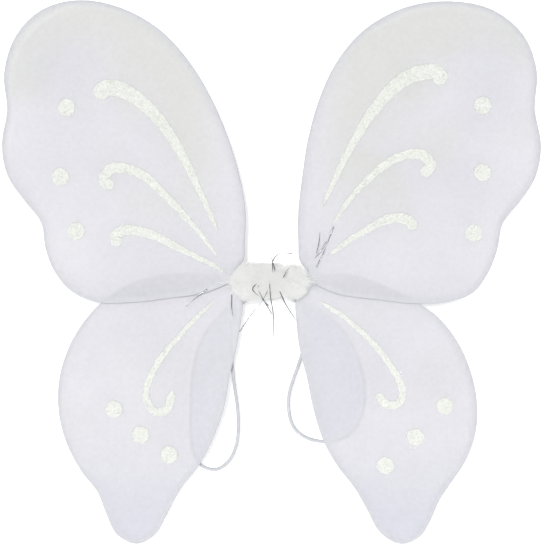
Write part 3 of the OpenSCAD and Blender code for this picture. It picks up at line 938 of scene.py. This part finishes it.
def makePad():
    look = padLook
    low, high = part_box("back_pad")
    centre, half = (low + high) / 2, (high - low) / 2
    middle = np.array([centre.x, centre.z])
    piece = cadCopy("back_pad", "felt_back_pad")
    mergeFlat(piece)
    bevelSharp(piece, look["round"], 3, lambda a, b: True)
    cutGrid(piece, look["cell"])
    place = points(piece)
    corner = look["corner"] - look["seamIn"]
    inset = Vector((half.x - look["seamIn"], 0, half.z - look["seamIn"]))
    seam = np.array([seamPoint(i / 120, middle, inset, corner)[0] for i in range(121)])
    away = edgeDistance(place[:, [0, 2]], np.stack([seam[:-1], seam[1:]], axis=1))
    dent = look["dent"] * (1 - smoothStep(*look["dentWide"], away))
    dent += look["nap"] * (0.5 + 0.5 * noiseAt(place, 500.0))
    outward = np.sign(place[:, 1] - centre.y)
    place[:, 1] -= outward * dent
    movePoints(piece, place)
    piece.data.shade_smooth()
    dress(piece, makeFelt(), "middle", ["back_pad"])

    stitches = []
    for i in range(look["stitches"]):
        spot, heading = seamPoint((i + 0.5) / look["stitches"], middle, inset, corner)
        ahead = np.array([math.cos(heading), math.sin(heading)]) * look["stitch"] / 2
        for face, side in ((high.y, -1), (low.y, 1)):
            rise = np.linspace(-1, 1, 7)
            y = face + side * (look["dent"] * 0.75 + look["stitchEnd"] * rise ** 4)
            path = np.stack([spot[0] + ahead[0] * rise, y, spot[1] + ahead[1] * rise], axis=1)
            stitches.append(sweepTube("stitch", path, look["thread"] / 2, 6))
    seamPiece = joinPieces(stitches, "pad_stitches")
    dress(seamPiece, thread, "middle")


makePad()
print("pad made")


# Glitter lines and dots
glitterLook = {
    "cell": 1.8 * mm,
    "rimRound": 0.2 * mm,
    "wander": 0.75 * mm,  # unevenness of the outline
    "waves": (230.0, 620.0),  # its long and short waves
    "grain": 0.12 * mm,
    "flakesPerSquare": 1.9e6,  # in a square metre
    "flake": (0.26 * mm, 0.5 * mm),
    "tilt": 0.5,
    "peak": 0.28,  # height of a flake's middle, as a share of its size
    "lift": 0.3 * mm,
    "strays": 0.2,  # share of the flakes that lie off the line
    "strayReach": 1.4 * mm,
}


def makePearl():
    material, tree, shader = newMaterial("pearlFlake", Roughness=0.45, Specular_IOR_Level=0.5)
    ramp = addNode(tree, "ShaderNodeValToRGB", {0: attributeOf(tree, "flakeTone")})
    colours = [
        (0.0, rgb(176, 182, 172)), (0.2, rgb(210, 212, 199)), (0.45, rgb(205, 213, 207)),
        (0.65, rgb(219, 219, 214)), (0.85, rgb(212, 214, 222)), (1.0, rgb(244, 244, 240)),
    ]
    for _ in colours[2:]:
        ramp.color_ramp.elements.new(0.5)
    for element, (place, colour) in zip(ramp.color_ramp.elements, colours):
        element.position, element.color = place, colour
    feed(tree, shader, Base_Color=ramp.outputs[0])
    return material


def makeGlue():
    material, tree, shader = newMaterial("driedGlue", Roughness=0.6)
    mottle = mottleOf(tree, 420.0, 4.0, rgb(206, 208, 202), rgb(216, 217, 212))
    feed(tree, shader, Base_Color=mottle["Colour"], Normal=bumpOf(tree, mottle["Value"], 0.5, 0.15 * mm))
    return material


pearl, glue = makePearl(), makeGlue()


def scatterFlakes(piece, front):  # small six-sided flakes over the front faces
    look = glitterLook
    mesh = piece.data
    mesh.calc_loop_triangles()
    place = points(piece)
    corners = np.array([t.vertices for t in mesh.loop_triangles if t.normal.y < -0.7])
    a, b, c = (place[corners[:, k]] for k in range(3))
    area = np.linalg.norm(np.cross(b - a, c - a), axis=1) / 2
    count = int(area.sum() * look["flakesPerSquare"])
    chosen = random.choice(len(area), count, p=area / area.sum())
    u, v = random.random((2, count, 1))
    over = (u + v) > 1
    u, v = np.where(over, 1 - u, u), np.where(over, 1 - v, v)
    spots = a[chosen] + u * (b - a)[chosen] + v * (c - a)[chosen]
    stray = random.random(count) < look["strays"]
    spots[:, [0, 2]] += random.normal(0, look["strayReach"], (count, 2)) * stray[:, None]
    spots[:, 1] = np.where(stray, front, spots[:, 1] - look["lift"] * random.random(count))
    lean, roll = random.normal(0, look["tilt"], (2, count))
    facing = unit(np.stack([lean, -np.ones(count), roll], axis=1))
    one = unit(np.cross(facing, random.normal(0, 1, (count, 3))))
    other = np.cross(facing, one)
    size = random.uniform(*look["flake"], (count, 1, 1))
    turn = np.arange(6) * np.pi / 3
    ring = one[:, None] * np.cos(turn)[None, :, None] + other[:, None] * np.sin(turn)[None, :, None]
    peaks = spots + look["peak"] * size[:, 0] * facing
    verts = np.concatenate([spots[:, None] + size * ring, peaks[:, None]], axis=1)
    form = [(i, (i + 1) % 6, 6) for i in range(6)] + [(0, i + 1, i) for i in range(1, 5)]
    faces = (np.arange(count)[:, None, None] * 7 + np.array(form)[None]).reshape(-1, 3)
    flakes = meshPiece("flakes", verts.reshape(-1, 3).tolist(), faces.tolist())
    flakes.data.shade_flat()
    giveAttribute(flakes, "flakeTone", np.repeat(random.random(count), 7))
    flakes.data.materials.append(pearl)
    return flakes


def makeGlitter(wing, part):
    look = glitterLook
    source = f"{wing}_{part}"
    low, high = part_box(source)
    piece = cadCopy(source, f"{source}_glitter")
    mergeFlat(piece)
    bevelSharp(piece, look["rimRound"], 2, lambda a, b: max(a[1], b[1]) < low.y + same)
    cutGrid(piece, look["cell"])
    piece.data.shade_smooth()
    piece.data.materials.append(glue)
    place = points(piece)
    flat = place * (1, 0, 1)
    long, short = look["waves"]
    for axis, seed in ((0, 1.0), (2, 5.0)):
        place[:, axis] += look["wander"] * (noiseAt(flat, long, seed) + 0.6 * noiseAt(flat, short, seed + 1))
    place[:, 1] += look["grain"] * noiseAt(place, 900.0) * (place[:, 1] < (low.y + high.y) / 2)
    movePoints(piece, place)
    piece = joinPieces([piece, scatterFlakes(piece, high.y - 0.1 * mm)], f"{source}_glitter")
    place = points(piece)
    place[:, 1] += filmShift(place, wing)
    movePoints(piece, place)
    dress(piece, None, wings[wing]["body"], [source])


for wing in wings:
    for part in wings[wing]["lines"] + ["dots"]:
        makeGlitter(wing, part)
print("glitter made")


# Fluffy trim: soft cores under thousands of fine barbs
fluffLook = {
    "lumps": [  # middle, half of the width and half of the height
        (-17 * mm, 22.5 * mm, 21.3 * mm), (0.0, 20 * mm, 16.6 * mm), (22 * mm, 16.5 * mm, 18.8 * mm)],
    "least": 1.5 * mm,  # half of the height past the lumps
    "forward": 16.5 * mm,  # how far the barbs stand out from the wrap's axis towards the front
    "seamAt": 15 * mm,  # from here outwards the fluff lies over the wings' roots
    "blend": (17 * mm, 30 * mm),  # where it starts to follow a lower wing, and from where it does so fully
    "roots": (-33 * mm, 31 * mm),
    "rootRise": 1 * mm,  # of the barbs' roots above the wrap
    "overForward": 6.2 * mm,  # over a wing the roots lie further forward,
    "overLow": 5 * mm,  # nearer to the middle height,
    "overTip": 3 * mm,  # and the tips start from further forward
    "wingFront": 4.6 * mm,  # barbs over a wing stay at least this far in front of the axis
    "backEdge": 6.6 * mm,  # and the others no further than this behind it
    "around": 1.65,  # roots and tips, in radians to either side of straight ahead
    "tipAround": 1.72,
    "aimSpread": 0.5,
    "curl": 0.16,
    "perLength": 260,  # barbs in each millimetre along the wrap
    "width": 0.1 * mm,
    "spread": 6.5 * mm,
    "coreShare": 0.26,
    "coreCell": 2 * mm,
    "tuftAt": (23.5 * mm, 8 * mm),  # out along the wrap and in front of its axis
    "tuftSize": (0.4, 3 * mm, 0.42),  # share of a lump's width, depth, share of its height
    "tuftRough": 0.8 * mm,
    "tuftFront": 4.2 * mm,
}


def lumpReach(x):  # how far the fluff reaches up and down at a place along the wrap
    reach = np.full(np.shape(x), fluffLook["least"])
    for middle, half, high in fluffLook["lumps"]:
        reach = np.maximum(reach, high * np.sqrt(np.clip(1 - ((x - middle) / half) ** 2, 0, 1)))
    return reach


def makeDown():
    material, tree, shader = newMaterial(
        "whiteDown", Roughness=0.9, Sheen_Weight=0.5, Specular_IOR_Level=0.25,
        Emission_Color=(1, 1, 1, 1), Emission_Strength=0.113)  # painted glow: the down gives off light of its own, standing in for light that comes through it
    mottle = mottleOf(tree, 120.0, 4.0, rgb(241, 241, 240), rgb(247, 247, 246))
    tone = blendOf(tree, attributeOf(tree, "barbTone"), mottle["Colour"], rgb(249, 249, 248))
    feed(tree, shader, Base_Color=tone)
    return material


down = makeDown()


def makeBarbs(name, roots, axisY, wrapR):
    look = fluffLook
    count = len(roots)
    over = smoothStep(look["seamAt"] * 0.9, look["seamAt"] * 1.25, np.abs(roots))
    rootY = axisY - over * look["overForward"]
    rootR = wrapR + look["rootRise"] - over * look["overLow"]
    turn = random.uniform(-look["around"], look["around"], count)
    start = np.stack([roots, rootY - rootR * np.cos(turn), rootR * np.sin(turn)], axis=1)
    aim = np.clip(turn + random.normal(0, look["aimSpread"], count), -look["tipAround"], look["tipAround"])
    x = roots + random.normal(0, look["spread"], count)
    share = random.uniform(0.7, 1.0, count) ** 0.5 * random.uniform(0.93, 1.09, count)
    lead = over * look["overTip"]
    tip = np.stack([
        x,
        axisY - lead - share * (look["forward"] - lead) * np.cos(aim),
        share * lumpReach(x) * np.sin(aim),
    ], axis=1)
    tip[:, 1] = np.minimum(tip[:, 1], axisY + np.where(over > 0.5, -look["wingFront"], look["backEdge"]))
    ahead = tip - start
    length = np.linalg.norm(ahead, axis=1)[:, None]
    curl = random.normal(0, look["curl"], (count, 3)) * length
    one = unit(np.cross(ahead, random.normal(0, 1, (count, 3))))
    other = np.cross(ahead / length, one)
    rings = []
    for t, thick in ((0.0, 1.0), (0.4, 0.75), (0.75, 0.45)):  # each barb thins out to its tip
        centre = start + ahead * t + curl * 4 * t * (1 - t)
        for corner in (0, 2 * math.pi / 3, 4 * math.pi / 3):
            out = math.cos(corner) * one + math.sin(corner) * other
            rings.append(centre + look["width"] * thick * out)
    rings.append(tip)
    verts = np.stack(rings, axis=1)
    form = [(0, 2, 1)]
    for ring in (0, 3):
        for k in range(3):
            n = (k + 1) % 3
            form += [(ring + k, ring + n, ring + 3 + n), (ring + k, ring + 3 + n, ring + 3 + k)]
    form += [(6 + k, 6 + (k + 1) % 3, 9) for k in range(3)]
    faces = (np.arange(count)[:, None, None] * 10 + np.array(form)[None]).reshape(-1, 3)
    piece = meshPiece(name, verts.reshape(-1, 3).tolist(), faces.tolist())
    giveAttribute(piece, "barbTone", np.repeat(random.random(count), 10))
    return piece


def makeMiddleCore(axisY, wrapR):
    core = cadCopy("fur_trim", "core")
    mergeFlat(core)
    cutGrid(core, fluffLook["coreCell"], axes=(0, 1, 2))
    place = points(core)
    away = place[:, 1:] - np.array([axisY, 0])
    radius = np.linalg.norm(away, axis=1)
    inner = wrapR + 0.05 * mm
    reach = inner + np.maximum(radius - inner, 0) * (fluffLook["coreShare"] + 0.1 * noiseAt(place, 260.0))
    place[:, 1:] = np.array([axisY, 0]) + away * (reach / radius)[:, None]
    movePoints(core, place)
    core.data.shade_smooth()
    return core


def makeTuftCore(side, axisY):
    look = fluffLook
    half, high = look["lumps"][0 if side < 0 else 2][1:]
    place = (side * look["tuftAt"][0], axisY - look["tuftAt"][1], 0)
    bpy.ops.mesh.primitive_uv_sphere_add(segments=40, ring_count=24, radius=1, location=place)
    core = bpy.context.object
    wide, deep, tall = look["tuftSize"]
    core.scale = (wide * half, deep, tall * high)
    onlySelect(core)
    bpy.ops.object.transform_apply(location=True, rotation=True, scale=True)
    shape = points(core)
    shape += noiseAt(shape, 220.0, side)[:, None] * look["tuftRough"]
    shape[:, 1] = np.minimum(shape[:, 1], axisY - look["tuftFront"])
    movePoints(core, shape)
    core.data.shade_smooth()
    return core


def makeFluff():
    look = fluffLook
    axisY, wrapR = axisOf("stem_wrap")
    start, end = look["roots"]
    count = int((end - start) / mm * look["perLength"])
    spots = random.uniform(start, end, count)
    middle = np.abs(spots) < look["seamAt"]
    barbs = makeBarbs("barbs", spots[middle], axisY, wrapR)
    piece = joinPieces([barbs, makeMiddleCore(axisY, wrapR)], "fluff_middle")
    dress(piece, down, "middle", ["fur_trim"])
    for side, label in ((-1, "left"), (1, "right")):
        barbs = makeBarbs("barbs", spots[~middle & (np.sign(spots) == side)], axisY, wrapR)
        piece = joinPieces([barbs, makeTuftCore(side, axisY)], f"fluff_{label}")
        dress(piece, down)
        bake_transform(piece)


makeFluff()
print("fluff made")


# Tinsel: thin twisted strips of metal film
tinselLook = {
    "width": 1.0 * mm,
    "thick": 0.08 * mm,
    "step": 0.8 * mm,
    "twist": 75.0,  # radians in a metre, a little more or less on each strip
    "apart": 1.7,  # turn from one strip to the next, in radians
    "ring": 0.9 * mm,  # a tube's points within this are one ring of it
}


def makeTinselFilm():
    material, tree, shader = newMaterial("silverFilm", Metallic=1.0)
    glint = noiseOf(tree, objectPlace(tree), 260.0, 2.0)
    # painted glints: brighter patches in the metal's colour, between darker grey stretches
    paintedGlint = rangeOf(tree, glint, 0.58, 0.72, 0.0, 1.0)
    tone = blendOf(tree, paintedGlint, rgb(122, 124, 130), rgb(184, 186, 191))
    feed(tree, shader, Base_Color=tone, Roughness=rangeOf(tree, glint, 0.3, 0.7, 0.14, 0.3))
    return material


film = makeTinselFilm()


def strandPaths(nodeName):  # the middle lines of a node's strands, from the rings of its tubes
    node = cadCopy(nodeName, "strands")
    place = points(node)
    ring = np.full(len(place), -1)
    middles = []
    for i in range(len(place)):
        if ring[i] < 0:
            near = np.linalg.norm(place - place[i], axis=1) < tinselLook["ring"]
            ring[near & (ring < 0)] = len(middles)
            middles.append(place[ring == len(middles)].mean(axis=0))
    beside = [set() for _ in middles]
    for edge in node.data.edges:
        a, b = (ring[v] for v in edge.vertices)
        if a != b:
            beside[a].add(b)
            beside[b].add(a)
    bpy.data.objects.remove(node)
    left, paths = {i for i in range(len(middles)) if len(beside[i]) == 1}, []
    while left:
        line = [min(left)]
        while True:
            onward = [n for n in beside[line[-1]] if n not in line]
            if not onward:
                break
            line.append(onward[0])
        left -= {line[0], line[-1]}
        paths.append(np.array([middles[i] for i in line]))
    return paths


def makeRibbon(path, start):
    look = tinselLook
    path = evenPath(smoothPath(path, 4), look["step"])
    ahead = unit(np.gradient(path, axis=0))
    flat = unit(np.cross(ahead, (0.0, 1.0, 0.0)))
    out = np.cross(flat, ahead)
    turn = start + look["twist"] * look["step"] * np.arange(len(path)) * (1 + 0.5 * math.sin(start))
    wide = flat * np.cos(turn)[:, None] + out * np.sin(turn)[:, None]
    thin = np.cross(ahead, wide)
    wide, thin = wide * look["width"] / 2, thin * look["thick"] / 2
    corners = (wide + thin, thin - wide, -wide - thin, wide - thin)
    verts = np.stack([path + corner for corner in corners], axis=1)
    faces = [(3, 2, 1, 0), tuple(4 * (len(path) - 1) + k for k in range(4))]
    for i in range(len(path) - 1):
        for k in range(4):
            n = (k + 1) % 4
            faces.append((4 * i + k, 4 * i + n, 4 * i + 4 + n, 4 * i + 4 + k))
    piece = meshPiece("ribbon", verts.reshape(-1, 3).tolist(), faces)
    onlySelect(piece)
    setMode("EDIT")
    bpy.ops.mesh.select_all(action="SELECT")
    bpy.ops.mesh.normals_make_consistent(inside=False)
    setMode("OBJECT")
    piece.data.shade_smooth()
    return piece


def makeTinsel(nodeName, body):
    ribbons = [makeRibbon(path, tinselLook["apart"] * i) for i, path in enumerate(strandPaths(nodeName))]
    piece = joinPieces(ribbons, nodeName.replace("tinsel", "tinsel_strips"))
    dress(piece, film, body, [nodeName])


makeTinsel("tinsel_middle", "middle")
for wing in ("upper_left", "upper_right", "lower_left"):
    makeTinsel(f"{wing}_tinsel", wings[wing]["body"])
print("tinsel made")
